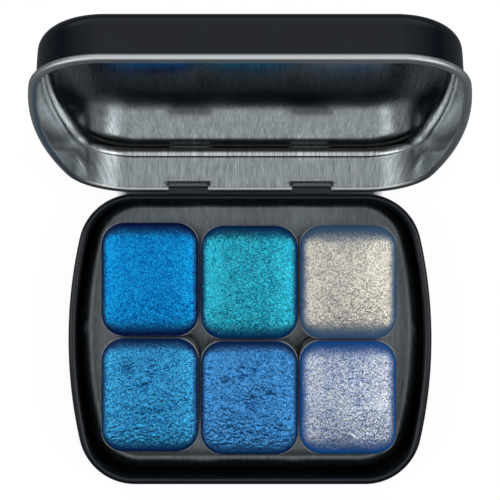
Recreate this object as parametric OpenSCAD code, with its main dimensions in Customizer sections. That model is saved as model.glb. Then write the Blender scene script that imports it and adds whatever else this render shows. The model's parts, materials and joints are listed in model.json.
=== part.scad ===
// Pocket watercolour set: a small hinged tin that holds six half pans of paint.
// Millimetres. The origin is the middle of the tin's underside, on the table.
// +X is to the right, +Y towards the hinge and +Z up. The lid is drawn open, on its stop.

/* [Half pans] */
// Width of a half pan across its top
pan_w = 16.1; // [14:0.1:18]
// Depth of a half pan across its top
pan_d = 18.8; // [16:0.1:22]
// Height of a half pan
pan_h = 10.5; // [8:0.1:13]
// Corner radius of a half pan, seen from above
pan_corner_r = 3.4; // [2.8:0.1:4.5]
// Wall and floor of a half pan
pan_wall = 0.8; // [0.6:0.05:1.2]
// How far each side draws in from the top to the foot
pan_draft = 0.4; // [0.1:0.05:0.8]
// Even gap between pans that stand side by side
column_gap = 0.3; // [0.2:0.05:1]
// Even gap between the rear and the front row
row_gap = 0.2; // [0.2:0.05:1]

/* [Paint] */
// How far the paint stops inside the pan's side
paint_inset = 0.15; // [0.05:0.05:0.6]
// Radius of the paint's rounded edge above the pan
paint_edge_r = 1.25; // [0.8:0.05:2]
// Height of the crown above that edge
paint_crown = 0.5; // [0.2:0.05:1]

/* [Magnet pads] */
// Thickness of the flexible magnet under each pan
magnet_t = 0.8; // [0.5:0.1:1.5]
// How far the magnet stops inside the pan's foot
magnet_margin = 1.6; // [1:0.1:4]
// Corner radius of the magnet
magnet_corner_r = 1; // [0.5:0.1:1.5]

/* [Tin base] */
// Thickness of the tinplate
sheet = 0.25; // [0.2:0.01:0.35]
// Room between the pans and the left and right walls
side_room = 5.3; // [4:0.1:9]
// Room between the pans and the front and rear walls
end_room = 4.85; // [4:0.1:9]
// How far the rim stands above the pans
rim_rise = 0.45; // [0.2:0.05:2]
// Radius of the bow in the left and right sides
side_bow_r = 76; // [60:1:120]
// Corner radius of the base, seen from above
corner_r = 9.4; // [7:0.1:11]
// Radius of the bend between floor and wall
foot_bend_r = 2.5; // [1.2:0.1:3]
// Radius of the rim's inward curl
curl_r = 0.65; // [0.5:0.05:0.9]
// How far the rim and the lid's bead curl round
curl_wrap = 290; // [240:5:290]

/* [Lid] */
// Gap between the base wall and the lid's skirt
lid_gap = 0.3; // [0.2:0.05:0.6]
// How far the closed lid comes down over the base
lid_lap = 4; // [3:0.1:5.5]
// Air between the highest paint and the closed lid
lid_air = 2.45; // [1.5:0.05:5]
// Radius of the bend between skirt and top
lid_bend_r = 2.25; // [1.5:0.05:3]
// Radius of the bead rolled outwards round the skirt's mouth
bead_r = 0.6; // [0.5:0.05:0.7]
// How far the lid opens
open_angle = 108; // [90:1:115]

/* [Hinge] */
// Width of each hinge tongue
tongue_w = 6.6; // [5:0.1:9]
// Distance of each tongue from the middle of the tin
tongue_x = 10.3; // [8:0.1:12.5]
// Running clearance between bead and tongue
hinge_play = 0.05; // [0.03:0.01:0.1]
// How far the tongue curls round the bead
wrap_angle = 225; // [190:1:235]
// Radius of the tongue's corners, seen from above
tongue_corner_r = 0.8; // [0.5:0.05:1]
// Clearance at each side of a tongue in its slot and window
slot_side = 0.35; // [0.2:0.05:0.6]
// Clearance above a tongue in its slot
slot_top = 0.2; // [0.1:0.05:0.4]

/* [Hidden] */
$fn = 96;
// Facets round a pan's four corners taken together
pan_fn = 24;
// Steps along a bowed side, round a corner and round a curl
bow_steps = 8;
corner_steps = 8;
curl_steps = 11;
// Width of the flat edge of a plate that is swept with its wall
plate_ring = 2;
// Overlap that makes two shapes one
eps = 0.02;
bare_tin = "#9aa0a1";
black_lacquer = "#1c2229";

// Places of the six pans: column from the left, row from the front, name and paint
PANS = [
    [0, 1, "rear_left", "#0b7bcb"],
    [1, 1, "rear_middle", "#1f9bbd"],
    [2, 1, "rear_right", "#c4c1b4"],
    [0, 0, "front_left", "#2885c0"],
    [1, 0, "front_middle", "#2c76b6"],
    [2, 0, "front_right", "#a7b9cf"],
];
// How far each pan was set down from its even place, by hand
nudge = [[-0.1, 0.35], [-0.1, -0.15], [-0.2, -0.1], [-0.1, 0.3], [-0.1, -0.2], [-0.25, -0.1]];

// Heights
pan_z = sheet + magnet_t;
pan_top = pan_z + pan_h;
base_h = pan_top + rim_rise;
paint_top = pan_top + paint_edge_r + paint_crown;
lid_top = paint_top + lid_air + sheet;

// Outline of the base wall: straight ends, bowed sides and round corners
half_w = (3 * pan_w + 2 * column_gap) / 2 + side_room + sheet;
half_d = (2 * pan_d + row_gap) / 2 + end_room + sheet;
bow_x = half_w - side_bow_r;
corner_y = half_d - corner_r;
corner_x = bow_x + sqrt(pow(side_bow_r - corner_r, 2) - pow(corner_y, 2));
// Angle at which a bowed side hands over to its corner
hand_over = atan2(corner_y, corner_x - bow_x);

// The hinge axis is the middle of the lid's rear bead
bead_out = lid_gap + bead_r;
hinge_y = half_d + bead_out;
hinge_z = base_h - lid_lap + bead_r;
lid_rise = lid_top - hinge_z;
pin_r = bead_r + eps;
knuckle_in_r = pin_r + hinge_play;
knuckle_out_r = knuckle_in_r + sheet;
slot_z = knuckle_out_r + slot_top;
// Length of sheet that the tongue takes out of the wall
tongue_length = bead_out + (wrap_angle - 90) * PI / 180 * (knuckle_in_r + sheet / 2);

// Points on an arc. skip_first and skip_last leave out an end that the next arc also has.
function arc(centre, r, from, to, steps, skip_first = 0, skip_last = 0) = [
    for (i = [skip_first : steps - skip_last])
        let (a = from + (to - from) * i / steps) centre + r * [cos(a), sin(a)]
];

// The base wall's outline moved outwards by d, anticlockwise from the front right corner
function outline(d) = concat(
    arc([bow_x, 0], side_bow_r + d, -hand_over, hand_over, bow_steps),
    arc([corner_x, corner_y], corner_r + d, hand_over, 90, corner_steps, 1),
    arc([-corner_x, corner_y], corner_r + d, 90, 180 - hand_over, corner_steps, 0, 1),
    arc([-bow_x, 0], side_bow_r + d, 180 - hand_over, 180 + hand_over, bow_steps),
    arc([-corner_x, -corner_y], corner_r + d, 180 + hand_over, 270, corner_steps, 1),
    arc([corner_x, -corner_y], corner_r + d, 270, 360 - hand_over, corner_steps, 0, 1)
);

// One bend of a sheet's middle line: [x, y, normal x, normal y] at each step.
// facing is 1 where the normal points away from the bend's centre, and -1 where it points at it.
function bend(centre, r, from, to, steps, facing) = [
    for (i = [0 : steps])
        let (a = from + (to - from) * i / steps, out = [cos(a), sin(a)])
            [each (centre + r * out), each (facing * out)]
];

// The section of a sheet along its middle line, with the face on the given side first
function strip(line, side) = concat(
    [for (s = line) [s[0], s[1]] + side * sheet / 2 * [s[2], s[3]]],
    [for (i = [len(line) - 1 : -1 : 0])
        [line[i][0], line[i][1]] - side * sheet / 2 * [line[i][2], line[i][3]]]
);

// A tray of sheet: the section, whose x is outwards from the outline and whose y is up,
// swept round the outline, with a flat plate across the middle
module tray(section) {
    count = len(outline(0));
    rows = len(section);
    polyhedron(
        points = [for (s = section) each [for (p = outline(s[0])) [p[0], p[1], s[1]]]],
        faces = concat(
            [[for (i = [0 : count - 1]) i]],
            [[for (i = [count - 1 : -1 : 0]) (rows - 1) * count + i]],
            [for (j = [0 : rows - 2], i = [0 : count - 1])
                let (next = (i + 1) % count)
                    [j * count + i, (j + 1) * count + i, (j + 1) * count + next, j * count + next]]
        )
    );
}

// Blocks on both sides of the middle, as wide as a tongue and its clearance
module tongue_gaps(y, low, high) {
    for (side = [-1, 1])
        translate([side * tongue_x, y, (low + high) / 2])
            cube([tongue_w + 2 * slot_side, 4 * sheet, high - low], center = true);
}

// ---- Tin base ----

base_line = concat(
    [[-foot_bend_r - plate_ring, sheet / 2, 0, 1]],
    bend([-foot_bend_r, foot_bend_r], foot_bend_r - sheet / 2, 270, 360, 4, -1),
    bend([-curl_r, base_h - curl_r], curl_r - sheet / 2, 0, curl_wrap, curl_steps, -1)
);

// Tongue from the wall over, behind and under the bead, along X about the hinge axis
module tongue() {
    back = knuckle_out_r + eps;
    intersection() {
        rotate([90, 0, 90]) linear_extrude(tongue_w, center = true) {
            translate([-bead_out - sheet / 2, knuckle_in_r]) square([bead_out + sheet / 2, sheet]);
            difference() {
                circle(knuckle_out_r);
                circle(knuckle_in_r);
                // The ring is open from the strap round to the tongue's end
                polygon(concat([[0, 0]], arc([0, 0], 3 * knuckle_out_r, 90, 450 - wrap_angle, 8)));
            }
        }
        // Round corners, seen from above
        linear_extrude(4 * knuckle_out_r, center = true) {
            square([tongue_w - 2 * tongue_corner_r, 2 * back], center = true);
            translate([-tongue_w, -2 * back]) square([2 * tongue_w, 3 * back - tongue_corner_r]);
            for (side = [-1, 1])
                translate([side * (tongue_w / 2 - tongue_corner_r), back - tongue_corner_r])
                    circle(tongue_corner_r);
        }
    }
}

module tin_base() {
    color(black_lacquer) {
        difference() {
            tray(strip(base_line, -1));
            // Windows that the tongues are struck from
            tongue_gaps(half_d, hinge_z + knuckle_in_r - tongue_length, hinge_z + knuckle_in_r);
        }
        for (side = [-1, 1]) translate([side * tongue_x, hinge_y, hinge_z]) tongue();
    }
}

// ---- Lid, drawn closed about the hinge axis ----

skirt_line = concat(
    [[lid_gap + sheet - lid_bend_r - plate_ring, lid_rise - sheet / 2, 0, -1]],
    bend([lid_gap + sheet - lid_bend_r, lid_rise - lid_bend_r], lid_bend_r - sheet / 2, 90, 0, 5, -1),
    bend([lid_gap + bead_r, 0], bead_r - sheet / 2, 180, 180 + curl_wrap, curl_steps, 1)
);

module closed_lid() {
    difference() {
        tray(strip(skirt_line, 1));
        // Slots that the tongues pass through
        tongue_gaps(half_d + lid_gap, 0, slot_z);
    }
    // The bead is truly round where the tongues hold it
    for (side = [-1, 1])
        translate([side * tongue_x, hinge_y, 0]) rotate([0, 90, 0])
            cylinder(r = pin_r, h = tongue_w + 2 * slot_side + 4 * sheet, center = true);
}

module tin_lid() {
    color(bare_tin)
        translate([0, hinge_y, hinge_z]) rotate([-open_angle, 0, 0]) translate([0, -hinge_y, 0])
            closed_lid();
}

// ---- Pans ----

function pan_at(i) = [
    (PANS[i][0] - 1) * (pan_w + column_gap) + nudge[i][0],
    (PANS[i][1] - 0.5) * (pan_d + row_gap) + nudge[i][1],
    pan_z
];

// Four corner posts of a rounded block, each as thin as a skin, for a hull
module skin(inset, z) {
    r = max(pan_corner_r - inset, 0.3);
    for (x = [-1, 1], y = [-1, 1])
        translate([x * (pan_w / 2 - inset - r), y * (pan_d / 2 - inset - r), z])
            cylinder(r = r, h = eps / 2, $fn = pan_fn);
}

// Inside of a pan, which the paint fills
module pan_hollow(top) {
    hull() {
        skin(pan_draft + pan_wall, pan_wall);
        skin(pan_wall, top - eps / 2);
    }
}

module half_pan() {
    difference() {
        hull() {
            skin(pan_draft, 0);
            skin(0, pan_h - eps / 2);
        }
        pan_hollow(pan_h);
        translate([0, 0, pan_h - eps]) hull() {
            skin(pan_wall, 0);
            skin(pan_wall, 2 * eps);
        }
    }
}

// The paint fills the pan and swells over its rim with a rounded edge and a low crown
module paint_cake() {
    steps = 4;
    reach = pan_w / 2 - paint_inset - paint_edge_r;
    pan_hollow(pan_h);
    hull() {
        for (i = [0 : steps])
            skin(paint_inset + paint_edge_r * (1 - cos(90 * i / steps)),
                 pan_h + paint_edge_r * sin(90 * i / steps) - (i == 0 ? 0 : eps / 2));
        for (share = [0.35, 0.65, 0.95])
            skin(paint_inset + paint_edge_r + share * reach,
                 pan_h + paint_edge_r + paint_crown * (1 - pow(1 - share, 2)) - eps / 2);
    }
}

module magnet_pad() {
    w = pan_w - 2 * pan_draft - 2 * magnet_margin;
    d = pan_d - 2 * pan_draft - 2 * magnet_margin;
    translate([0, 0, -magnet_t]) linear_extrude(magnet_t) {
        square([w - 2 * magnet_corner_r, d], center = true);
        square([w, d - 2 * magnet_corner_r], center = true);
        for (x = [-1, 1], y = [-1, 1])
            translate([x * (w / 2 - magnet_corner_r), y * (d / 2 - magnet_corner_r)])
                circle(magnet_corner_r);
    }
}

tin_base();
tin_lid();
for (i = [0 : len(PANS) - 1]) {
    color("#c9d6e2") translate(pan_at(i)) half_pan();
    color(PANS[i][3]) translate(pan_at(i)) paint_cake();
    color("#2b2a29") translate(pan_at(i)) magnet_pad();
}
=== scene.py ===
"""A pocket watercolour set: a hinged tin of black-lacquered tinplate, open, with six half pans that
are overfilled with shimmer paint. Metres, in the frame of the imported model."""
import json
import math

import bmesh
import bpy
import numpy as np
from mathutils import Matrix, Vector

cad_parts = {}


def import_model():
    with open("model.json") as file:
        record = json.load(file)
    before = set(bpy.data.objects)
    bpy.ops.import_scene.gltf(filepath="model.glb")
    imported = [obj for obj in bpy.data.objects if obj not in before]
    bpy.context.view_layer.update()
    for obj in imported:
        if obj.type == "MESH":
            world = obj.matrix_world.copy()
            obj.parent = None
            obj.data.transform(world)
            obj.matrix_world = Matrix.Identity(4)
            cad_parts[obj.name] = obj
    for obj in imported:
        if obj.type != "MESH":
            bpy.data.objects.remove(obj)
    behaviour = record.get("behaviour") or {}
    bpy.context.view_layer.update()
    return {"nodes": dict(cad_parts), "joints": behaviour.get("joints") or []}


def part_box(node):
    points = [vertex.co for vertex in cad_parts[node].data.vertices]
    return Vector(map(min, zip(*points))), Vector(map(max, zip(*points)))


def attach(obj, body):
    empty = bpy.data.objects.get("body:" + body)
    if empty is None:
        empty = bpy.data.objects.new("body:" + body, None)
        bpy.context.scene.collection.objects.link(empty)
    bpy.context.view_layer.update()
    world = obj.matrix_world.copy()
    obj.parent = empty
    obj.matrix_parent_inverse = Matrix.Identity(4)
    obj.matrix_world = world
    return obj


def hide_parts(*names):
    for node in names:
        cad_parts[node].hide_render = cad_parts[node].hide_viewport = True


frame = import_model()
MM = 0.001

# ---- Sizes, in millimetres ----

base_low, base_high = (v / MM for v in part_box("tin_base"))
lid_joint = next(j for j in frame["joints"] if j["name"] == "lid_hinge")
HINGE_Y, HINGE_Z = (v / MM for v in lid_joint["pos_m"][1:])
OPEN_ANGLE = -lid_joint["range_deg"][0]

SHEET = 0.25                      # tinplate
HALF_W = base_high.x
HALF_D = -base_low.y
BASE_H = base_high.z
SIDE_BOW_R = 76.0                 # bow of the left and right sides
CORNER_R = 9.4
FOOT_BEND_R = 2.5
CURL_R = 0.65                     # rim, curled inwards
CURL_WRAP = 290                   # degrees, of the rim's curl and of the lid's bead
CURL_STEPS = 28
LID_GAP = 0.3                     # between the base wall and the skirt
LID_TOP = 16.0                    # height of the closed lid
LID_BEND_R = 2.25
SKIRT_STEP = 0.2                  # between the rows of points up the lid's skirt
BEAD_R = 0.6                      # mouth of the lid, curled outwards
TONGUE_W = 6.6
TONGUE_X = 10.3                   # from the middle of the tin to the middle of a tongue
TONGUE_CORNER_R = 0.8
TONGUE_WRAP = 220                 # degrees that a tongue curls round the bead
TONGUE_OVER = 0.02                # how far past a tongue its corner's rounding would end
TONGUE_RUBBED = range(13, 22)     # steps along a tongue that are worn bare in the slot
WINDOW_H = 3.9                    # window in the base's rear wall that a tongue is struck from
HINGE_PLAY = 0.07
SLOT_SIDE = 0.35                  # room beside a tongue in its slot
SLOT_TOP = 0.2                    # and above it
SLOT_FOOT = 0.25                  # height of the slot's lower edge over the middle of the bead
CUT_REACH = 0.6                   # half the thickness of what cuts a slot or window
PRESSED_EDGE = 0.75               # how far the pressed panel runs past its slot
PRESSED_DEPTH = 0.02
PRESSED_FOOT = 0.6                # height over the middle of the bead where the panel starts
PRESSED_FADE = 0.5                # height over which it reaches its depth

PAN_CORNER_R = 3.4
PAN_WALL = 0.8
PAN_DRAFT = 0.4                   # how much further in the pan's side is at its foot
PAN_RIM_R = 0.12
PAN_FOOT_R = 0.5
PAINT_INSET = 0.04                # between the pan's side and the paint, on a straight side
PAINT_CORNER = 0.35               # how much rounder the paint's corner is
PAINT_EDGE = 2.7                  # width over which the paint's edge rounds off
PAINT_RISE = 1.05                 # height of that rounding
PAINT_CROWN = 0.62                # and of the dome on top of it
PAINT_GRID = 0.1                  # between the paint's points, which are closer at its edge
FLAKE_W = 0.12                    # coarse mica
FLAKE_LIFT = 0.012                # its height above the paint
FLOOR_DROP = 0.02                 # the studio floor's depth below the tin

PLACES = ["rear_left", "rear_middle", "rear_right", "front_left", "front_middle", "front_right"]


# ---- Small helpers ----

def srgb(code):
    """An sRGB hex colour as linear red, green, blue and alpha."""
    parts = [int(code[i:i + 2], 16) / 255 for i in (1, 3, 5)]
    return [p / 12.92 if p <= 0.04045 else ((p + 0.055) / 1.055) ** 2.4 for p in parts] + [1.0]


def add(tree, kind, sockets=None, **settings):
    """Adds a node. A socket gets a value, or a link from another node's output."""
    made = tree.nodes.new(kind)
    for key, value in settings.items():
        setattr(made, key, value)
    for key, value in (sockets or {}).items():
        if isinstance(value, bpy.types.NodeSocket):
            tree.links.new(value, made.inputs[key])
        else:
            made.inputs[key].default_value = value
    return made


def new_material(name):
    made = bpy.data.materials.new(name)
    made.use_nodes = True
    made.node_tree.nodes.clear()
    return made, made.node_tree


def finish_material(tree, shader):
    add(tree, "ShaderNodeOutputMaterial", {"Surface": shader.outputs[0]})


def new_object(name, data):
    made = bpy.data.objects.new(name, data)
    bpy.context.scene.collection.objects.link(made)
    return made


def piece_from_mesh(name, mesh, body):
    made = new_object(name, mesh)
    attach(made, body)
    return made


def smooth_by_angle(mesh, degrees=35):
    mesh.shade_smooth()
    mesh.set_sharp_from_angle(angle=math.radians(degrees))


# ---- Materials ----

def grain_coordinates(tree, attribute, across, along):
    """Coordinates in which a streak is 1 wide and 1 long, from its size in millimetres."""
    read = add(tree, "ShaderNodeAttribute", attribute_name=attribute)
    return add(tree, "ShaderNodeMapping", {"Vector": read.outputs["Vector"],
               "Scale": (1 / (across * MM), 1 / (along * MM), 1 / (across * MM))})


def tinplate(name, dark, light, smooth, rough, varnish=0.0):
    """Tinplate, bare or under a clear varnish: steel strip rolled bright with a fine lengthwise grain and
    a tin coat, slightly cloudy from handling."""
    made, tree = new_material(name)
    fine = grain_coordinates(tree, "blank", 0.17, 2.6)
    coarse = grain_coordinates(tree, "blank", 0.9, 14)
    cloud = grain_coordinates(tree, "blank", 9, 14)
    fine_noise = add(tree, "ShaderNodeTexNoise", {"Vector": fine.outputs[0], "Scale": 1.0, "Detail": 3.0,
                                                  "Roughness": 0.6})
    coarse_noise = add(tree, "ShaderNodeTexNoise", {"Vector": coarse.outputs[0], "Scale": 1.0,
                                                    "Detail": 2.0})
    cloud_noise = add(tree, "ShaderNodeTexNoise", {"Vector": cloud.outputs[0], "Scale": 1.0,
                                                   "Detail": 3.0})
    worn = add(tree, "ShaderNodeAttribute", attribute_name="worn")
    grained = add(tree, "ShaderNodeMath", {0: worn.outputs["Fac"], 1: -0.95, 2: 1.0},
                  operation="MULTIPLY_ADD")
    both = add(tree, "ShaderNodeMath", {0: coarse_noise.outputs[0], 1: 0.4, 2: fine_noise.outputs[0]},
               operation="MULTIPLY_ADD")
    left = add(tree, "ShaderNodeMath", {0: both.outputs[0], 1: grained.outputs[0]}, operation="MULTIPLY")
    bump = add(tree, "ShaderNodeBump", {"Height": left.outputs[0], "Strength": 0.4, "Distance": 0.00005})
    haze = add(tree, "ShaderNodeMapRange", {"Value": cloud_noise.outputs[0], "From Min": 0.3,
                                            "From Max": 0.7, "To Min": smooth, "To Max": rough})
    dull = add(tree, "ShaderNodeMath", {0: worn.outputs["Fac"], 1: 0.3, 2: haze.outputs[0]},
               operation="MULTIPLY_ADD")
    streak = add(tree, "ShaderNodeMapRange", {"Value": both.outputs[0], "From Min": 0.5,
                                              "From Max": 0.9})
    rubbed = add(tree, "ShaderNodeMath", {0: streak.outputs[0], 1: worn.outputs["Fac"]},
                 operation="MAXIMUM")
    tone = add(tree, "ShaderNodeMix", {"Factor": rubbed.outputs[0], "A": srgb(dark),
                                       "B": srgb(light)}, data_type="RGBA")
    shader = add(tree, "ShaderNodeBsdfPrincipled", {
        "Base Color": tone.outputs["Result"], "Metallic": 1.0, "Roughness": dull.outputs[0],
        "Normal": bump.outputs[0], "Coat Weight": varnish, "Coat Roughness": 0.12})
    finish_material(tree, shader)
    return made


def lacquer():
    """Stoving lacquer, black, roller-coated on the sheet before it was drawn: satin, with a faint
    orange peel that softens its highlights."""
    made, tree = new_material("stoving_lacquer_black")
    at = add(tree, "ShaderNodeTexCoord")
    peel = add(tree, "ShaderNodeTexNoise", {"Vector": at.outputs["Object"], "Scale": 1 / (0.5 * MM),
                                            "Detail": 2.0})
    cloud = add(tree, "ShaderNodeTexNoise", {"Vector": at.outputs["Object"], "Scale": 1 / (7 * MM),
                                             "Detail": 3.0})
    bump = add(tree, "ShaderNodeBump", {"Height": peel.outputs[0], "Strength": 0.12,
                                        "Distance": 0.00003})
    rough = add(tree, "ShaderNodeMapRange", {"Value": cloud.outputs[0], "From Min": 0.3, "From Max": 0.7,
                                             "To Min": 0.15, "To Max": 0.22})
    tone = add(tree, "ShaderNodeMix", {"Factor": cloud.outputs[0], "A": srgb("#050d18"),
                                       "B": srgb("#0a1420")}, data_type="RGBA")
    shader = add(tree, "ShaderNodeBsdfPrincipled", {
        "Base Color": tone.outputs["Result"], "Roughness": rough.outputs[0], "IOR": 1.43,
        "Normal": bump.outputs[0]})
    finish_material(tree, shader)
    return made


def pan_plastic():
    """Polypropylene, injection moulded: milky and translucent, with a soft gloss."""
    made, tree = new_material("polypropylene_moulded")
    at = add(tree, "ShaderNodeTexCoord")
    flow = add(tree, "ShaderNodeTexNoise", {"Vector": at.outputs["Object"], "Scale": 1 / (2.5 * MM),
                                            "Detail": 2.0})
    bump = add(tree, "ShaderNodeBump", {"Height": flow.outputs[0], "Strength": 0.1, "Distance": 0.00005})
    tone = add(tree, "ShaderNodeMix", {"Factor": flow.outputs[0], "A": srgb("#ccd6e1"),
                                       "B": srgb("#e8eef3")}, data_type="RGBA")
    shader = add(tree, "ShaderNodeBsdfPrincipled", {
        "Base Color": tone.outputs["Result"], "Roughness": 0.22, "IOR": 1.49,
        "Transmission Weight": 0.45, "Normal": bump.outputs[0]})
    finish_material(tree, shader)
    return made


def shimmer_paint(place, body_tone, mica_dark, mica_light, grain, rough):
    """Watercolour with mica, poured in layers and dried: on top the mica lies nearly flat in the gum,
    like a rough metal with a bright and a dull face at every flake, and the steep rim shows the
    clear, deep gum alone. grain is the width of a flake in millimetres, drawn wide enough to show."""
    made, tree = new_material("mica_watercolour_" + place)
    at = add(tree, "ShaderNodeTexCoord")
    mica = add(tree, "ShaderNodeAttribute", attribute_name="mica")
    flakes = add(tree, "ShaderNodeTexVoronoi", {"Vector": at.outputs["Object"],
                                                "Scale": 1 / (grain * MM)})
    patch = add(tree, "ShaderNodeTexNoise", {"Vector": at.outputs["Object"], "Scale": 1 / (1.6 * MM),
                                             "Detail": 4.0, "Roughness": 0.6})
    lean = add(tree, "ShaderNodeVectorMath", {0: flakes.outputs["Color"], 1: (0.5, 0.5, 0.5)},
               operation="SUBTRACT")
    tilt = add(tree, "ShaderNodeMath", {0: mica.outputs["Fac"], 1: 0.38}, operation="MULTIPLY")
    tilted = add(tree, "ShaderNodeVectorMath", {0: lean.outputs[0], "Scale": tilt.outputs[0]},
                 operation="SCALE")
    geometry = add(tree, "ShaderNodeNewGeometry")
    facing = add(tree, "ShaderNodeVectorMath", {0: geometry.outputs["Normal"], 1: tilted.outputs[0]},
                 operation="ADD")
    normal = add(tree, "ShaderNodeVectorMath", {0: facing.outputs[0]}, operation="NORMALIZE")
    one = add(tree, "ShaderNodeSeparateColor", {0: flakes.outputs["Color"]})
    shade = add(tree, "ShaderNodeMath", {0: one.outputs["Red"], 1: patch.outputs[0]},
                operation="MULTIPLY")
    # Painted sheen: where the cake carries it, the mica's tone is pushed towards its light face, standing
    # in for the side lamps' highlights
    painted_sheen = add(tree, "ShaderNodeAttribute", attribute_name="painted_sheen")
    sheen_gain = add(tree, "ShaderNodeMath", {0: painted_sheen.outputs["Fac"], 1: 1.25, 2: 1.0},
               operation="MULTIPLY_ADD")
    thick = add(tree, "ShaderNodeMath", {0: shade.outputs[0], 1: sheen_gain.outputs[0]}, operation="MULTIPLY")
    face = add(tree, "ShaderNodeMapRange", {"Value": thick.outputs[0], "From Min": 0.08,
                                            "From Max": 0.42})
    metal_tone = add(tree, "ShaderNodeMix", {"Factor": face.outputs[0], "A": srgb(mica_dark),
                                             "B": srgb(mica_light)}, data_type="RGBA")
    tone = add(tree, "ShaderNodeMix", {"Factor": mica.outputs["Fac"], "A": srgb(body_tone),
                                       "B": metal_tone.outputs["Result"]}, data_type="RGBA")
    metal = add(tree, "ShaderNodeMath", {0: mica.outputs["Fac"], 1: 0.9}, operation="MULTIPLY")
    shader = add(tree, "ShaderNodeBsdfPrincipled", {
        "Base Color": tone.outputs["Result"], "Metallic": metal.outputs[0], "Roughness": rough,
        "IOR": 1.33, "Normal": normal.outputs[0]})
    finish_material(tree, shader)
    return made


def mica_flake(place, tone):
    """Coarse mica, coated: single bright flakes that catch the light."""
    made, tree = new_material("coarse_mica_" + place)
    at = add(tree, "ShaderNodeTexCoord")
    vary = add(tree, "ShaderNodeTexNoise", {"Vector": at.outputs["Object"], "Scale": 1 / (0.6 * MM)})
    rough = add(tree, "ShaderNodeMapRange", {"Value": vary.outputs[0], "From Min": 0.3, "From Max": 0.7,
                                             "To Min": 0.2, "To Max": 0.35})
    shader = add(tree, "ShaderNodeBsdfPrincipled", {
        "Base Color": srgb(tone), "Metallic": 1.0, "Roughness": rough.outputs[0]})
    finish_material(tree, shader)
    return made


def flexible_magnet():
    """Ferrite powder in rubber, rolled into sheet and stamped: matt dark brown grey."""
    made, tree = new_material("flexible_magnet_sheet")
    at = add(tree, "ShaderNodeTexCoord")
    powder = add(tree, "ShaderNodeTexNoise", {"Vector": at.outputs["Object"], "Scale": 1 / (0.25 * MM),
                                              "Detail": 3.0})
    bump = add(tree, "ShaderNodeBump", {"Height": powder.outputs[0], "Strength": 0.3,
                                        "Distance": 0.00003})
    tone = add(tree, "ShaderNodeMix", {"Factor": powder.outputs[0], "A": srgb("#1f1d1c"),
                                       "B": srgb("#37332f")}, data_type="RGBA")
    shader = add(tree, "ShaderNodeBsdfPrincipled", {
        "Base Color": tone.outputs["Result"], "Roughness": 0.75, "Normal": bump.outputs[0]})
    finish_material(tree, shader)
    return made


# ---- Sheet metal: a section swept round the outline ----

def outline_stations(step=0.45):
    """Points round the base wall's outline, in millimetres, anticlockwise, each with its way out."""
    bow_x = HALF_W - SIDE_BOW_R
    corner_y = HALF_D - CORNER_R
    corner_x = bow_x + math.sqrt((SIDE_BOW_R - CORNER_R) ** 2 - corner_y ** 2)
    hand_over = math.atan2(corner_y, corner_x - bow_x)
    quarter = []
    for centre, radius, start, end in [((bow_x, 0), SIDE_BOW_R, 0, hand_over),
                                       ((corner_x, corner_y), CORNER_R, hand_over, math.pi / 2)]:
        count = max(8, round(radius * (end - start) / step))
        for i in range(count):
            a = start + (end - start) * i / count
            out = (math.cos(a), math.sin(a))
            quarter.append((centre[0] + radius * out[0], centre[1] + radius * out[1], *out))
    count = round(corner_x / step)
    seams = [TONGUE_X + side * (TONGUE_W / 2 + SLOT_SIDE + PRESSED_EDGE * part)
             for side in (-1, 1) for part in (0.25, 0.5, 1)]
    straight = [corner_x * (1 - i / count) for i in range(count)]
    straight = [x for x in straight if min(abs(x - at) for at in seams) > 0.1] + seams
    quarter += [(x, HALF_D, 0, 1) for x in sorted(straight, reverse=True)]
    quarter.append((0, HALF_D, 0, 1))
    half = quarter + [(-x, y, -u, v) for x, y, u, v in quarter[-2:0:-1]]
    whole = half + [(-x, -y, -u, -v) for x, y, u, v in half]
    return np.array(whole)


def bend(centre, radius, start, end, steps, facing):
    """One bend of a sheet's middle line: x, y and the normal at each step."""
    turn = np.radians(np.linspace(start, end, steps + 1))
    out = np.c_[np.cos(turn), np.sin(turn)]
    return np.c_[np.array(centre) + radius * out, facing * out]


def strip(line):
    """The sheet's section, from its inside face round the free edge to its outside face."""
    inside = line[:, :2] + SHEET / 2 * line[:, 2:]
    outside = line[::-1, :2] - SHEET / 2 * line[::-1, 2:]
    return np.r_[inside, outside]


def polyline(name, points, closed):
    mesh = bpy.data.meshes.new(name)
    edges = [(i, i + 1) for i in range(len(points) - 1)]
    if closed:
        edges.append((len(points) - 1, 0))
    mesh.from_pydata([tuple(p) for p in points], edges, [])
    return new_object(name, mesh)


def socket_id(tree, name):
    return next(i.identifier for i in tree.interface.items_tree
                if i.item_type == "SOCKET" and i.in_out == "INPUT" and i.name == name)


def group_tree(name, inputs):
    """A Geometry Nodes tree with a geometry in and out, and named inputs."""
    tree = bpy.data.node_groups.new(name, "GeometryNodeTree")
    tree.interface.new_socket("Geometry", in_out="INPUT", socket_type="NodeSocketGeometry")
    tree.interface.new_socket("Geometry", in_out="OUTPUT", socket_type="NodeSocketGeometry")
    for key, kind in inputs:
        tree.interface.new_socket(key, in_out="INPUT", socket_type="NodeSocket" + kind)
    return tree, add(tree, "NodeGroupInput")


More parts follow.
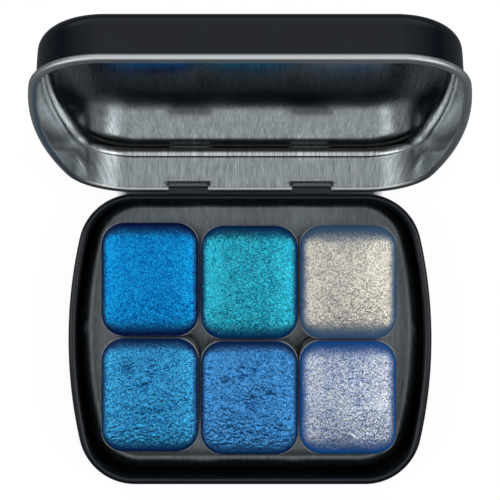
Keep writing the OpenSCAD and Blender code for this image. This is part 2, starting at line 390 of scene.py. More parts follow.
def sweep_tree():
    """Sweeps a section round an outline: what drawing and curling do to a sheet, and what a
    mould's parting line does to a pan. The section's x is outwards and its y is down."""
    tree, given = group_tree("sweep_section_round_outline",
                             [("Section", "Object"), ("Scale of section", "Float"),
                              ("Material", "Material")])
    path = add(tree, "GeometryNodeMeshToCurve", {"Mesh": given.outputs["Geometry"]})
    upright = add(tree, "GeometryNodeSetCurveNormal", {"Curve": path.outputs[0]}, mode="Z_UP")
    section = add(tree, "GeometryNodeObjectInfo", {"Object": given.outputs["Section"]})
    sized = add(tree, "GeometryNodeTransform", {"Geometry": section.outputs["Geometry"]})
    size = add(tree, "ShaderNodeCombineXYZ", {0: given.outputs["Scale of section"],
                                              1: given.outputs["Scale of section"],
                                              2: given.outputs["Scale of section"]})
    tree.links.new(size.outputs[0], sized.inputs["Scale"])
    profile = add(tree, "GeometryNodeMeshToCurve", {"Mesh": sized.outputs[0]})
    swept = add(tree, "GeometryNodeCurveToMesh", {"Curve": upright.outputs[0],
                                                  "Profile Curve": profile.outputs[0]})
    real = add(tree, "GeometryNodeRealizeInstances", {"Geometry": swept.outputs[0]})
    dressed = add(tree, "GeometryNodeSetMaterial", {"Geometry": real.outputs[0],
                                                    "Material": given.outputs["Material"]})
    add(tree, "NodeGroupOutput", {"Geometry": dressed.outputs[0]})
    return tree


def run_tree(host, tree, values):
    """The plain mesh that a Geometry Nodes tree makes of an object, which is then removed."""
    modifier = host.modifiers.new("nodes", "NODES")
    modifier.node_group = tree
    for key, value in values.items():
        modifier[socket_id(tree, key)] = value
    bpy.context.view_layer.update()
    mesh = bpy.data.meshes.new_from_object(host.evaluated_get(bpy.context.evaluated_depsgraph_get()))
    host.modifiers.remove(modifier)
    bpy.data.objects.remove(host)
    return mesh


def swept_shell(name, stations, section, materials, split, worn=0):
    """A closed shell: the section swept round the stations, with a flat plate on each face.
    Faces before the split of the section get the first material, and the others the second. The
    worn points nearest the split, on each face, are dull from curling and handling."""
    path = polyline("outline", np.c_[stations[:, :2], np.zeros(len(stations))] * MM, True)
    profile = polyline("section", np.c_[section[:, 0], -section[:, 1], np.zeros(len(section))], False)
    mesh = run_tree(path, SWEEP, {"Section": profile, "Scale of section": MM, "Material": materials[0]})
    bpy.data.objects.remove(profile)
    rings, rows = len(stations), len(section)
    # Where each point lay on the flat blank that the shell was drawn from
    run = np.r_[0, np.cumsum(np.hypot(*np.diff(section, axis=0).T))]
    run = np.where(np.arange(rows) < split, run, run[-1] - run) + section[0, 0]
    blank = stations[:, None, :2] + run[None, :, None] * stations[:, None, 2:]
    blank = np.concatenate([blank, np.zeros((rings, rows, 1))], axis=2) * MM
    store = mesh.attributes.new("blank", "FLOAT_VECTOR", "POINT")
    store.data.foreach_set("vector", blank.ravel().astype(np.float32))
    dull = np.abs(np.arange(rows) - split + 0.5) < worn
    store = mesh.attributes.new("worn", "FLOAT", "POINT")
    store.data.foreach_set("value", np.tile(dull, rings).astype(np.float32))
    mesh.materials.clear()
    for m in materials:
        mesh.materials.append(m)
    build = bmesh.new()
    build.from_mesh(mesh)
    build.verts.ensure_lookup_table()
    for face in build.faces:
        row = min(v.index % rows for v in face.verts)
        face.material_index = 0 if row < split - 1 else 1
    for row, side in ((0, 0), (rows - 1, 1)):
        plate = build.faces.new([build.verts[i * rows + row] for i in range(rings)])
        plate.material_index = side
    bmesh.ops.recalc_face_normals(build, faces=build.faces)
    build.to_mesh(mesh)
    build.free()
    mesh.name = name
    return mesh


def box_mesh(low, high, material):
    mesh = bpy.data.meshes.new("cutter")
    build = bmesh.new()
    bmesh.ops.create_cube(build, size=1)
    size = Vector(high) - Vector(low)
    for v in build.verts:
        v.co = Vector([low[k] + (v.co[k] + 0.5) * size[k] for k in range(3)]) * MM
    build.to_mesh(mesh)
    build.free()
    mesh.materials.append(material)
    return mesh


def cut_boxes(mesh, boxes, material):
    """Cuts boxes, given in millimetres, out of a shell."""
    host = new_object("shell", mesh)
    cutters = []
    for low, high in boxes:
        cutter = new_object("cutter", box_mesh(low, high, material))
        cut = host.modifiers.new("cut", "BOOLEAN")
        cut.operation = "DIFFERENCE"
        cut.solver = "EXACT"
        cut.object = cutter
        cutters.append(cutter)
    bpy.context.view_layer.update()
    result = bpy.data.meshes.new_from_object(host.evaluated_get(bpy.context.evaluated_depsgraph_get()))
    for o in [host] + cutters:
        bpy.data.objects.remove(o)
    return result


def tongue_boxes(y, low, high):
    """The boxes that open a rear wall for the two tongues."""
    half = TONGUE_W / 2 + SLOT_SIDE
    return [((side * TONGUE_X - half, y - CUT_REACH, low),
             (side * TONGUE_X + half, y + CUT_REACH, high))
            for side in (-1, 1)]


# ---- The tin ----

def tin_base(bare, black):
    line = np.r_[
        [[-FOOT_BEND_R - 0.3, SHEET / 2, 0, 1]],
        bend((-FOOT_BEND_R, FOOT_BEND_R), FOOT_BEND_R - SHEET / 2, 270, 360, 12, -1),
        bend((-CURL_R, BASE_H - CURL_R), CURL_R - SHEET / 2, 0, CURL_WRAP, CURL_STEPS, -1)]
    mesh = swept_shell("tin_base_shell", outline_stations(), strip(line), [bare, black], len(line))
    knuckle = HINGE_Z + BEAD_R + HINGE_PLAY
    mesh = cut_boxes(mesh, tongue_boxes(HALF_D, knuckle - WINDOW_H, knuckle), black)
    smooth_by_angle(mesh)
    made = piece_from_mesh("tin_base_shell", mesh, "base")
    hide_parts("tin_base")


def tongue(side, bare, black):
    """A strip struck from the wall: out over the bead, then curled behind and under it. It is bare
    where it was sheared and where it rubs in the slot."""
    inner = BEAD_R + HINGE_PLAY
    middle = inner + SHEET / 2
    reach = HINGE_Y - HALF_D + SHEET / 2
    path = [(-reach * (1 - i / 8), middle, 0, 1) for i in range(8)]
    for a in np.radians(np.linspace(90, 90 - TONGUE_WRAP, 40)):
        path.append((middle * math.cos(a), middle * math.sin(a), math.cos(a), math.sin(a)))
    rounding_from = inner + SHEET + TONGUE_OVER - TONGUE_CORNER_R
    build = bmesh.new()
    rows = []
    narrow = TONGUE_W / 2
    across = np.linspace(-1, 1, 15)
    for y, z, ny, nz in path:
        past = max(0.0, y - rounding_from)
        chord = math.sqrt(max(0.0, TONGUE_CORNER_R ** 2 - past ** 2))
        narrow = min(narrow, TONGUE_W / 2 - TONGUE_CORNER_R + chord)
        ring = []
        for face in (1, -1):
            for t in across * face:
                ring.append(build.verts.new((
                    (side * TONGUE_X + t * narrow) * MM,
                    (HINGE_Y + y + face * ny * SHEET / 2) * MM,
                    (HINGE_Z + z + face * nz * SHEET / 2) * MM)))
        rows.append(ring)
    count = len(rows[0])
    for k, (a, b) in enumerate(zip(rows, rows[1:])):
        for i in range(count):
            j = (i + 1) % count
            face = build.faces.new((a[i], a[j], b[j], b[i]))
            sheared = i % (count // 2) == count // 2 - 1
            face.material_index = 1 if k in TONGUE_RUBBED or sheared else 0
    for end in (rows[0], rows[-1]):
        build.faces.new(end).material_index = 1
    bmesh.ops.recalc_face_normals(build, faces=build.faces)
    mesh = bpy.data.meshes.new("hinge_tongue")
    build.to_mesh(mesh)
    build.free()
    mesh.materials.append(black)
    mesh.materials.append(bare)
    scuffed = mesh.attributes.new("worn", "FLOAT", "POINT")
    scuffed.data.foreach_set("value", [1.0] * len(mesh.vertices))
    smooth_by_angle(mesh, 50)
    made = piece_from_mesh("hinge_tongue_" + ("left" if side < 0 else "right"), mesh, "base")
    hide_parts("tin_base")


def press_panels(mesh):
    """Presses a shallow rectangle round each slot, towards the inside of the closed tin."""
    points = np.zeros(len(mesh.vertices) * 3)
    mesh.vertices.foreach_get("co", points)
    points = points.reshape(-1, 3)
    x, y, z = points.T / MM
    top = BEAD_R + HINGE_PLAY + SHEET + SLOT_TOP
    half = TONGUE_W / 2 + SLOT_SIDE + PRESSED_EDGE
    inside = np.minimum(half - np.abs(np.abs(x) - TONGUE_X), top + PRESSED_EDGE - z)
    depth = PRESSED_DEPTH * np.clip(inside / (PRESSED_EDGE / 2), 0, 1)
    skirt = HALF_D + LID_GAP
    wall = (y > skirt - 0.1) & (y < skirt + SHEET + 0.05) & (z > PRESSED_FOOT)
    fade = np.clip((z - PRESSED_FOOT) / PRESSED_FADE, 0, 1)
    points[:, 1] -= np.where(wall, depth * fade, 0) * MM
    mesh.vertices.foreach_set("co", points.ravel())


def tin_lid(bare, black):
    rise = LID_TOP - HINGE_Z
    bend_x = LID_GAP + SHEET - LID_BEND_R
    skirt = np.array([[LID_GAP + SHEET / 2, z, -1, 0]
                      for z in np.arange(rise - LID_BEND_R, 0, -SKIRT_STEP)[1:]])
    line = np.r_[
        [[bend_x - 0.3, rise - SHEET / 2, 0, -1]],
        bend((bend_x, rise - LID_BEND_R), LID_BEND_R - SHEET / 2, 90, 0, 14, -1),
        skirt,
        bend((LID_GAP + BEAD_R, 0), BEAD_R - SHEET / 2, 180, 180 + CURL_WRAP, CURL_STEPS, 1)]
    mesh = swept_shell("tin_lid_shell", outline_stations(), strip(line), [bare, black], len(line),
                       CURL_STEPS)
    press_panels(mesh)
    top = BEAD_R + HINGE_PLAY + SHEET + SLOT_TOP
    # The cutters end just outside the skirt, clear of the bead
    mesh = cut_boxes(mesh, tongue_boxes(HALF_D + LID_GAP - 0.3, SLOT_FOOT, top), bare)
    smooth_by_angle(mesh)
    open_up = (Matrix.Translation((0, HINGE_Y * MM, HINGE_Z * MM))
               @ Matrix.Rotation(math.radians(-OPEN_ANGLE), 4, "X")
               @ Matrix.Translation((0, -HINGE_Y * MM, 0)))
    mesh.transform(open_up)
    made = piece_from_mesh("tin_lid_shell", mesh, "lid")
    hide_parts("tin_lid")


# ---- Half pans ----

def rounded_rectangle(half_w, half_d, radius, step=0.35):
    """Stations round a rectangle with round corners, anticlockwise, each with its way out."""
    x, y = half_w - radius, half_d - radius
    stations = []
    for k, (cx, cy) in enumerate([(x, y), (-x, y), (-x, -y), (x, -y)]):
        count = round(radius * math.pi / 2 / step)
        for i in range(count + 1):
            a = math.pi / 2 * (k + i / count)
            out = (math.cos(a), math.sin(a))
            stations.append((cx + radius * out[0], cy + radius * out[1], *out))
    return np.array(stations)


def pan_place(place):
    """Lowest and highest corner of a pan, in millimetres."""
    return [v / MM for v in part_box("half_pan_" + place)]


def half_pan(place, plastic):
    low, high = pan_place(place)
    height = high.z - low.z

    def side(z):
        return -PAN_DRAFT * (1 - z / height)

    floor_in = side(PAN_WALL) - PAN_WALL
    rim = [(PAN_RIM_R * math.cos(a) - PAN_RIM_R, PAN_RIM_R * math.sin(a) + height - PAN_RIM_R)
           for a in np.radians(np.linspace(90, 0, 6))]
    foot = [(side(0) - PAN_FOOT_R + PAN_FOOT_R * math.cos(a), PAN_FOOT_R + PAN_FOOT_R * math.sin(a))
            for a in np.radians(np.linspace(0, -90, 7))]
    section = np.array([(floor_in - 0.6, PAN_WALL), (floor_in - 0.2, PAN_WALL),
                        (floor_in, PAN_WALL + 0.25), (-PAN_WALL - 0.02, height - 0.05),
                        (-PAN_WALL, height)] + rim + foot + [(side(0) - PAN_FOOT_R - 0.4, 0)])
    stations = rounded_rectangle((high.x - low.x) / 2, (high.y - low.y) / 2, PAN_CORNER_R)
    mesh = swept_shell("half_pan", stations, section, [plastic, plastic], 5)
    middle = (low + high) / 2
    mesh.transform(Matrix.Translation(Vector((middle.x, middle.y, low.z)) * MM))
    smooth_by_angle(mesh, 40)
    made = piece_from_mesh("moulded_pan_" + place, mesh, "pan_" + place)
    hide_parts("half_pan_" + place)


# ---- Paint ----

def value_noise(x, y, seed):
    """Smooth noise from -1 to 1 with cells one unit wide, the same on every run."""
    rng = np.random.default_rng(seed)
    table = rng.uniform(-1, 1, (64, 64))
    xi, yi = np.floor(x).astype(int), np.floor(y).astype(int)
    u, v = x - xi, y - yi
    u, v = u * u * (3 - 2 * u), v * v * (3 - 2 * v)

    def at(i, j):
        return table[(xi + i) % 64, (yi + j) % 64]

    return (at(0, 0) * (1 - u) + at(1, 0) * u) * (1 - v) + (at(0, 1) * (1 - u) + at(1, 1) * u) * v


def smoothstep(low, high, value):
    t = np.clip((value - low) / (high - low), 0, 1)
    return t * t * (3 - 2 * t)


def cake_surface(half_w, half_d, look):
    """Grid over a rounded rectangle: plan and height above the pan in millimetres, the share of mica
    in the gum, cut back further at the ends as painted shade, and a painted sheen, where the mica is
    drawn brighter as the side lamps' highlights."""
    radius = PAN_CORNER_R - PAINT_INSET + PAINT_CORNER
    edge = np.array([0, 0.01, 0.03, 0.06, 0.1, 0.15, 0.21, 0.28, 0.36])

    def lines(half):
        inner = half - 0.45
        return np.r_[-half + edge, np.linspace(-inner, inner, round(2 * inner / PAINT_GRID) + 1),
                     (half - edge)[::-1]]

    x, y = np.meshgrid(lines(half_w), lines(half_d), indexing="ij")
    a = np.clip((np.abs(x) - half_w + radius) / radius, 0, 1)
    b = np.clip((np.abs(y) - half_d + radius) / radius, 0, 1)
    corner = (a > 0) & (b > 0)
    x = np.where(corner, np.sign(x) * (half_w - radius + radius * a * np.sqrt(1 - b * b / 2)), x)
    y = np.where(corner, np.sign(y) * (half_d - radius + radius * b * np.sqrt(1 - a * a / 2)), y)
    qx, qy = np.abs(x) - half_w + radius, np.abs(y) - half_d + radius
    beyond = np.hypot(np.maximum(qx, 0), np.maximum(qy, 0)) + np.minimum(np.maximum(qx, qy), 0)
    inside = np.maximum(radius - beyond, 0)
    left = 1 - np.minimum(inside, PAINT_EDGE) / PAINT_EDGE
    z = PAINT_RISE * np.sqrt(1 - left ** 2.2)
    z = z + PAINT_CROWN * (1 - np.abs(x / half_w) ** 2.2) * (1 - np.abs(y / half_d) ** 2.6)
    # Dried surface: a fine grit of mica, wrinkles that lie across the pan, and a few pits
    flat = smoothstep(0.15, 1.3, inside)
    seed = look["seed"]
    turn = math.radians(look["wrinkle_turn"])
    along = x * math.cos(turn) + y * math.sin(turn)
    across = -x * math.sin(turn) + y * math.cos(turn)
    grit = value_noise(x / 0.28, y / 0.28, seed) + 0.5 * value_noise(x / 0.55, y / 0.55, seed + 1)
    warp = 0.7 * value_noise(x / 2.2, y / 2.2, seed + 2)
    folds = 1 - 2 * np.abs(value_noise(along / 0.8 + warp, across / 0.46 + warp, seed + 3))
    creased = 1 - 2 * np.abs(value_noise(along / 0.4 - warp, across / 0.32 + warp, seed + 10))
    folds = 0.6 * folds + 0.4 * creased
    patch = 0.45 + 0.2 * value_noise(x / 4, y / 4, seed + 4) + 0.4 * smoothstep(0.5, -8.5, y)
    swell = value_noise(along / 7 + 0.3 * warp, across / 3.4, seed + 5)
    z = z + flat * (look["grit"] * grit + look["wrinkle"] * patch * (folds - 0.6)
                    + look["swell"] * swell)
    creases = (1 - np.abs(value_noise(along / 0.9 + warp, across / 0.42 + warp, seed + 7))) ** 3
    for px, py, size, depth in look["pits"]:
        hollow = np.exp(-((x - px) ** 2 + (y - py) ** 2) / size ** 2)
        z = z - flat * 1.3 * depth * hollow * (0.35 + 0.65 * creases)
    ragged = inside + 0.14 * value_noise(x / 0.3, y / 0.3, seed + 6)
    # The clear gum is drawn wider at the ends: painted shade, where the paint's ends tilt away from the
    # lamps
    ends = smoothstep(-1.5, 1.5, qy - qx)
    rim = look["rim"] * (1 - ends) + look["shaded_end_rim"] * ends
    mica = smoothstep(rim * 0.15, rim, ragged) ** 0.9
    # Painted sheen: the mica is drawn brighter along the two long sides and in a few streaks, standing in
    # for the side lamps' highlights on the domed paint
    sheen_band = np.exp(-((half_w - np.abs(x) - 2.1) / 1.25) ** 2) * smoothstep(0.5, 4.0, half_d - np.abs(y))
    painted_sheen = look["sheen_bands"] * sheen_band * (1 + 0.5 * value_noise(x / 1.5, y / 2.5, seed + 8))
    for px, py, wide, long, lean, share in look["sheen_streaks"]:
        turn = math.radians(lean)
        u = (x - px) * math.cos(turn) + (y - py) * math.sin(turn)
        v = -(x - px) * math.sin(turn) + (y - py) * math.cos(turn)
        blur = 1 + 0.5 * value_noise(x / 1.3, y / 1.3, seed + 9)
        painted_sheen = painted_sheen + share * np.exp(-(u / wide) ** 2 - (v / long) ** 2) * blur
    return x, y, z, mica, painted_sheen


def paint_cake(place, look, material):
    low, high = pan_place(place)
    half_w, half_d = (high.x - low.x) / 2 - PAINT_INSET, (high.y - low.y) / 2 - PAINT_INSET
    x, y, z, mica, painted_sheen = cake_surface(half_w, half_d, look)
    middle = (low + high) / 2
    nx, ny = x.shape
    points = np.c_[x.ravel() + middle.x, y.ravel() + middle.y, z.ravel() + high.z]
    number = np.arange(nx * ny).reshape(nx, ny)
    quads = np.c_[number[:-1, :-1].ravel(), number[1:, :-1].ravel(), number[1:, 1:].ravel(),
                  number[:-1, 1:].ravel()]
    rim = np.r_[number[:-1, 0], number[-1, :-1], number[:0:-1, -1], number[0, :0:-1]]
    # Below the rim the paint fills the pan: two more rings and a flat foot
    height = high.z - low.z
    rings = [rim]
    plan = np.c_[x.ravel()[rim], y.ravel()[rim]]
    for inset, level in ((PAN_WALL + 0.03, height), (PAN_DRAFT + PAN_WALL - 0.02, PAN_WALL + 0.05)):
        shrink = 1 - (inset - PAINT_INSET) / np.array([half_w, half_d])
        ring = np.c_[plan * shrink + [middle.x, middle.y], np.full(len(rim), low.z + level)]
        rings.append(np.arange(len(points), len(points) + len(rim)))
        points = np.r_[points, ring]
    faces = [tuple(q) for q in quads]
    for a, b in zip(rings, rings[1:]):
        for i in range(len(a)):
            j = (i + 1) % len(a)
            faces.append((a[j], a[i], b[i], b[j]))
    faces.append(tuple(rings[-1][::-1]))
    mesh = bpy.data.meshes.new("paint_cake")
    mesh.from_pydata((points * MM).tolist(), [], [tuple(int(i) for i in f) for f in faces])
    for attribute, share in (("mica", mica), ("painted_sheen", painted_sheen)):
        store = mesh.attributes.new(attribute, "FLOAT", "POINT")
        values = np.zeros(len(points), np.float32)
        values[:nx * ny] = share.ravel()
        store.data.foreach_set("value", values)
    mesh.materials.append(material)
    smooth_by_angle(mesh, 60)
    made = piece_from_mesh("shimmer_cake_" + place, mesh, "pan_" + place)
    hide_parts("paint_cake_" + place)
    return made


def flake_tree():
    """Strews flakes over a surface where it carries mica, each tilted a little from it."""
    tree, given = group_tree("strew_coarse_mica",
                             [("Flakes per square metre", "Float"), ("Flake width", "Float"),
                              ("Tilt", "Float"), ("Seed", "Int"), ("Material", "Material")])
    mica = add(tree, "GeometryNodeInputNamedAttribute", {"Name": "mica"}, data_type="FLOAT")
    thick = add(tree, "ShaderNodeMath", {0: mica.outputs[0], 1: given.outputs["Flakes per square metre"]},
                operation="MULTIPLY")
    strewn = add(tree, "GeometryNodeDistributePointsOnFaces",
                 {"Mesh": given.outputs["Geometry"], "Density": thick.outputs[0],
                  "Seed": given.outputs["Seed"]})
    flake = add(tree, "GeometryNodeMeshCircle", {"Vertices": 5, "Radius": 0.5}, fill_type="NGON")
    low = add(tree, "ShaderNodeMath", {0: given.outputs["Tilt"], 1: -1.0}, operation="MULTIPLY")
    lean = add(tree, "FunctionNodeRandomValue", data_type="FLOAT_VECTOR")
    lows = add(tree, "ShaderNodeCombineXYZ", {0: low.outputs[0], 1: low.outputs[0], 2: -3.1})
    highs = add(tree, "ShaderNodeCombineXYZ", {0: given.outputs["Tilt"], 1: given.outputs["Tilt"],
                                               2: 3.1})
    tree.links.new(lows.outputs[0], lean.inputs[0])
    tree.links.new(highs.outputs[0], lean.inputs[1])
    tree.links.new(given.outputs["Seed"], lean.inputs["Seed"])
    small = add(tree, "ShaderNodeMath", {0: given.outputs["Flake width"], 1: 0.5}, operation="MULTIPLY")
    width = add(tree, "FunctionNodeRandomValue", data_type="FLOAT")
    tree.links.new(small.outputs[0], width.inputs[2])
    tree.links.new(given.outputs["Flake width"], width.inputs[3])
    tree.links.new(given.outputs["Seed"], width.inputs["Seed"])
    laid = add(tree, "GeometryNodeInstanceOnPoints",
               {"Points": strewn.outputs["Points"], "Instance": flake.outputs[0],
                "Rotation": strewn.outputs["Rotation"], "Scale": width.outputs[1]})
    leant = add(tree, "GeometryNodeRotateInstances", {"Instances": laid.outputs[0],
                                                      "Rotation": lean.outputs[0]})
    real = add(tree, "GeometryNodeRealizeInstances", {"Geometry": leant.outputs[0]})
    dressed = add(tree, "GeometryNodeSetMaterial", {"Geometry": real.outputs[0],
                                                    "Material": given.outputs["Material"]})
    add(tree, "NodeGroupOutput", {"Geometry": dressed.outputs[0]})
    return tree


def strew_flakes(place, cake, look, material):
    host = new_object("strewn", cake.data.copy())
    mesh = run_tree(host, FLAKES, {"Flakes per square metre": look["flakes"] / MM ** 2,
                                   "Flake width": FLAKE_W * MM, "Tilt": look["tilt"],
                                   "Seed": look["seed"], "Material": material})
    mesh.transform(Matrix.Translation((0, 0, FLAKE_LIFT * MM)))
    piece_from_mesh("coarse_mica_" + place, mesh, "pan_" + place)


# What each paint looks like. body is the clear gum at the rim, and dark and light are the mica's two
# faces. grit, wrinkle and swell are heights, rim and the end rim are how wide the clear gum shows at the
# sides and the ends, the end rim drawn wider as painted shade where the ends tilt away from the lamps,
# the sheen bands are how strongly painted sheen brightens the mica along the long sides, and flakes is
# the number of coarse ones on a square millimetre. A pit is x, y, size and depth. A sheen streak, a patch
# of painted sheen, is x, y, half width, half length, lean in degrees and strength. Sizes are in
# millimetres, from the middle of the pan.
LOOKS = {
    "rear_left": dict(slot="royal_blue_paint", body="#03205c", dark="#005cbc", light="#12b4ff",
                      flake_tone="#38bcff", seed=11, grit=0.02, wrinkle=0.0, wrinkle_turn=0, swell=0.05,
                      rim=1.15, shaded_end_rim=2.7, flakes=15, tilt=0.42, rough=0.38, grain=0.15,
                      sheen_bands=0.8, sheen_streaks=[], pits=[]),
    "rear_middle": dict(slot="teal_paint", body="#053c72", dark="#0e769c", light="#34dcfc",
                        flake_tone="#7be9e6", seed=23, grit=0.022, wrinkle=0.02, wrinkle_turn=30,
                        swell=0.06, rim=1.2, shaded_end_rim=2.7, flakes=15, tilt=0.42, rough=0.38,
                        grain=0.15, sheen_bands=1.0, sheen_streaks=[(-1.0, -5.2, 0.9, 0.8, 0, 0.5)], pits=[]),
    "rear_right": dict(slot="champagne_paint", body="#4a6f95", dark="#a6a7ae", light="#fffae9",
                       flake_tone="#fff6dc", seed=37, grit=0.03, wrinkle=0.02, wrinkle_turn=60,
                       swell=0.13, rim=1.75, shaded_end_rim=3.9, flakes=15, tilt=0.42, rough=0.4, grain=0.15,
                       sheen_bands=0.45, sheen_streaks=[(4.4, 0.8, 2.3, 6.0, 0, 0.9), (1.6, -3.5, 1.4, 3.2, 8, 0.45)],
                       pits=[]),
    "front_left": dict(slot="azure_paint", body="#06306a", dark="#1668ac", light="#46c2ff",
                       flake_tone="#7fd6ff", seed=41, grit=0.02, wrinkle=0.13, wrinkle_turn=15,
                       swell=0.06, rim=1.15, shaded_end_rim=2.5, flakes=9, tilt=0.4, rough=0.36, grain=0.16,
                       sheen_bands=0.35, sheen_streaks=[],
                       pits=[(-3.3, 4.4, 1.1, 0.4), (0.3, 4.0, 1.0, 0.3), (-0.8, 1.5, 1.2, 0.4),
                             (-3.3, 0.8, 0.8, 0.25), (1.5, -2.8, 0.25, 0.3)]),
    "front_middle": dict(slot="denim_blue_paint", body="#0b346e", dark="#286db0", light="#54b2ff",
                         flake_tone="#86ccff", seed=53, grit=0.022, wrinkle=0.15, wrinkle_turn=-12,
                         swell=0.08, rim=1.05, shaded_end_rim=2.2, flakes=9, tilt=0.4, rough=0.36, grain=0.16,
                         sheen_bands=0.2, sheen_streaks=[(0.5, 0.8, 1.0, 1.2, 0, 0.4)],
                         pits=[(-1.1, 4.1, 1.0, 0.35), (0.7, 4.6, 0.8, 0.3), (0.2, -1.0, 1.2, 0.45),
                               (3.4, 0.4, 0.9, 0.35), (-3.7, 2.5, 1.0, 0.25),
                               (5.0, -4.9, 0.7, 0.25)]),
    "front_right": dict(slot="pearl_blue_paint", body="#1f5ca6", dark="#5d80c2", light="#e6effa",
                        flake_tone="#ffffff", seed=67, grit=0.03, wrinkle=0.05, wrinkle_turn=-52,
                        swell=0.14, rim=1.75, shaded_end_rim=3.6, flakes=15, tilt=0.42, rough=0.38, grain=0.15,
                        sheen_bands=0.4, sheen_streaks=[(5.0, 0.3, 1.9, 6.0, 0, 0.8), (-5.4, 4.0, 1.0, 3.0, 0, 0.4),
                                             (0.0, -2.6, 1.1, 4.2, 33, 0.6)],
                        pits=[(1.6, -0.6, 1.3, 0.12)]),
}


# ---- Stage ----

def stage():
    floor = bpy.data.meshes.new("floor")
    half = 1.5
    floor.from_pydata([(-half, -half, 0), (half, -half, 0), (half, half, 0), (-half, half, 0)], [],
                      [(0, 1, 2, 3)])
    floor.transform(Matrix.Translation((0, 0, -FLOOR_DROP * MM)))
    made = new_object("floor", floor)
    material, tree = new_material("studio_floor_white")
    at = add(tree, "ShaderNodeTexCoord")
    part = add(tree, "ShaderNodeSeparateXYZ", {0: at.outputs["Object"]})
    # The camera sees the floor white, except in the deep shade below the tin and its hinge
    aside = add(tree, "ShaderNodeMath", {0: part.outputs["X"]}, operation="ABSOLUTE")
    wide = add(tree, "ShaderNodeMapRange", {"Value": aside.outputs[0], "From Min": 0.0215,
                                            "From Max": 0.0235})
    back = add(tree, "ShaderNodeMath", {0: part.outputs["Y"], 1: 0.006}, operation="SUBTRACT")
    away = add(tree, "ShaderNodeMath", {0: back.outputs[0]}, operation="ABSOLUTE")
    deep = add(tree, "ShaderNodeMapRange", {"Value": away.outputs[0], "From Min": 0.024,
                                            "From Max": 0.028})
    clear = add(tree, "ShaderNodeMath", {0: wide.outputs[0], 1: deep.outputs[0]}, operation="MAXIMUM")
    ray = add(tree, "ShaderNodeLightPath")
    share = add(tree, "ShaderNodeMath", {0: ray.outputs["Is Camera Ray"], 1: clear.outputs[0]},
                operation="MULTIPLY")
    strength = add(tree, "ShaderNodeMath", {0: share.outputs[0], 1: 0.9}, operation="MULTIPLY")
    matt = add(tree, "ShaderNodeBsdfDiffuse", {"Color": srgb("#7c8084")})
    glow = add(tree, "ShaderNodeEmission", {"Color": srgb("#ffffff"), "Strength": strength.outputs[0]})
    mixed = add(tree, "ShaderNodeAddShader", {0: matt.outputs[0], 1: glow.outputs[0]})
    finish_material(tree, mixed)
    floor.materials.append(material)


def world():
    """A pale ceiling, a little to the rear, bright windows at the sides and a grey wall at the
    rear, which the metal and the mica mirror. The front is dark."""
    made = bpy.data.worlds.new("studio")
    bpy.context.scene.world = made
    made.use_nodes = True
    tree = made.node_tree
    tree.nodes.clear()
    way = add(tree, "ShaderNodeTexCoord")
    height = add(tree, "ShaderNodeVectorMath", {0: way.outputs["Generated"], 1: (0, 0.2, 0.98)},
                 operation="DOT_PRODUCT")
    level = add(tree, "ShaderNodeMapRange", {"Value": height.outputs["Value"], "From Min": 0.7,
                                             "From Max": 0.92, "To Min": 0.04, "To Max": 0.85})
    part = add(tree, "ShaderNodeSeparateXYZ", {0: way.outputs["Generated"]})
    aside = add(tree, "ShaderNodeMath", {0: part.outputs["X"]}, operation="ABSOLUTE")
    sides = add(tree, "ShaderNodeMapRange", {"Value": aside.outputs[0], "From Min": 0.4, "From Max": 0.7,
                                             "To Max": 0.4})
    along = add(tree, "ShaderNodeMath", {0: part.outputs["Y"], 1: 0.1}, operation="ADD")
    off = add(tree, "ShaderNodeMath", {0: along.outputs[0]}, operation="ABSOLUTE")
    beside = add(tree, "ShaderNodeMapRange", {"Value": off.outputs[0], "From Min": 0.2, "From Max": 0.5,
                                              "To Min": 1.0, "To Max": 0.1})
    rear = add(tree, "ShaderNodeMapRange", {"Value": part.outputs["Y"], "From Min": 0.5, "From Max": 0.75,
                                            "To Max": 0.6})
    ceiling = add(tree, "ShaderNodeMath", {0: level.outputs[0], 1: rear.outputs[0]}, operation="MAXIMUM")
    all_round = add(tree, "ShaderNodeMath", {0: sides.outputs[0], 1: beside.outputs[0],
                                             2: ceiling.outputs[0]}, operation="MULTIPLY_ADD")
    ray = add(tree, "ShaderNodeLightPath")
    strength = add(tree, "ShaderNodeMix", {"Factor": ray.outputs["Is Camera Ray"],
                                           "A": all_round.outputs[0], "B": 1.0}, data_type="FLOAT")
    glow = add(tree, "ShaderNodeBackground", {"Color": srgb("#ffffff"), "Strength": strength.outputs[0]})
    add(tree, "ShaderNodeOutputWorld", {"Surface": glow.outputs[0]})


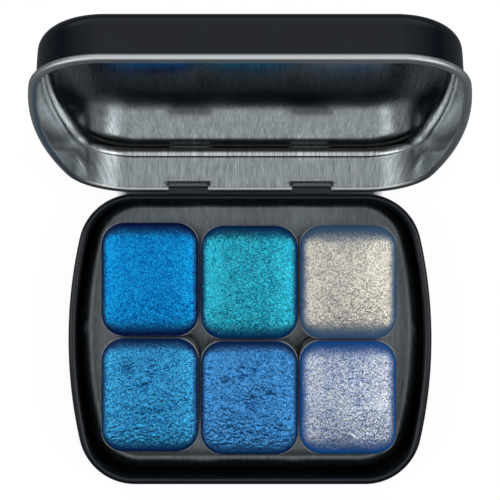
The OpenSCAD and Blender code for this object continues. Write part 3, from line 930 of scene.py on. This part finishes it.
def softbox(name, side, power):
    """A tall lamp beside the tin, to the left or right, that is aimed at it."""
    place = Vector((side * 0.37, 0.02, 0.36))
    aim = Vector((0, 0, 0.01))
    data = bpy.data.lights.new(name, "AREA")
    data.shape = "RECTANGLE"
    data.size = 0.2
    data.size_y = 0.34
    data.energy = power
    made = new_object(name, data)
    made.location = place
    made.rotation_euler = (aim - place).to_track_quat("-Z", "Y").to_euler()


def camera():
    """Straight down, from above a point behind the middle of the base, with a shifted lens."""
    photo_px = 500
    base_middle_px = 339.3       # row of the photograph where the middle of the base lies
    foot_px = 218.0              # row where the point below the camera lies
    px_per_mm = 6.07             # at the height of the base's rim
    distance = 193.0             # in millimetres, above that rim
    sensor = 36
    data = bpy.data.cameras.new("camera")
    data.sensor_width = sensor
    data.lens = sensor * distance * px_per_mm / photo_px
    data.shift_y = (foot_px - photo_px / 2) / photo_px
    data.clip_start = 0.01
    made = new_object("camera", data)
    made.location = Vector((0, (base_middle_px - foot_px) / px_per_mm, BASE_H + distance)) * MM
    bpy.context.scene.camera = made


# ---- Making it ----

SWEEP = sweep_tree()
FLAKES = flake_tree()

camera()
stage()
world()
softbox("left_softbox", -1, 0.26)
softbox("right_softbox", 1, 0.32)

BARE = tinplate("tinplate_rolled_bare", "#949ba0", "#dee2e3", 0.08, 0.13)
# The base's inside: tinplate under a clear varnish, in darker tones than the lid's bare tinplate
DARKER_TINPLATE = tinplate("tinplate_darker_varnished", "#4b5459", "#6e7679", 0.2, 0.32, 0.6)
BLACK = lacquer()
PLASTIC = pan_plastic()
MAGNET = flexible_magnet()

tin_base(DARKER_TINPLATE, BLACK)
tongue(-1, BARE, BLACK)
tongue(1, BARE, BLACK)
tin_lid(BARE, BLACK)
for name in PLACES:
    look = LOOKS[name]
    half_pan(name, PLASTIC)
    cake = paint_cake(name, look, shimmer_paint(name, look["body"], look["dark"], look["light"],
                                                look["grain"], look["rough"]))
    strew_flakes(name, cake, look, mica_flake(name, look["flake_tone"]))
    pad = frame["nodes"]["magnet_pad_" + name]
    pad.data.materials.clear()
    pad.data.materials.append(MAGNET)

bpy.context.scene.view_settings.view_transform = "Standard"
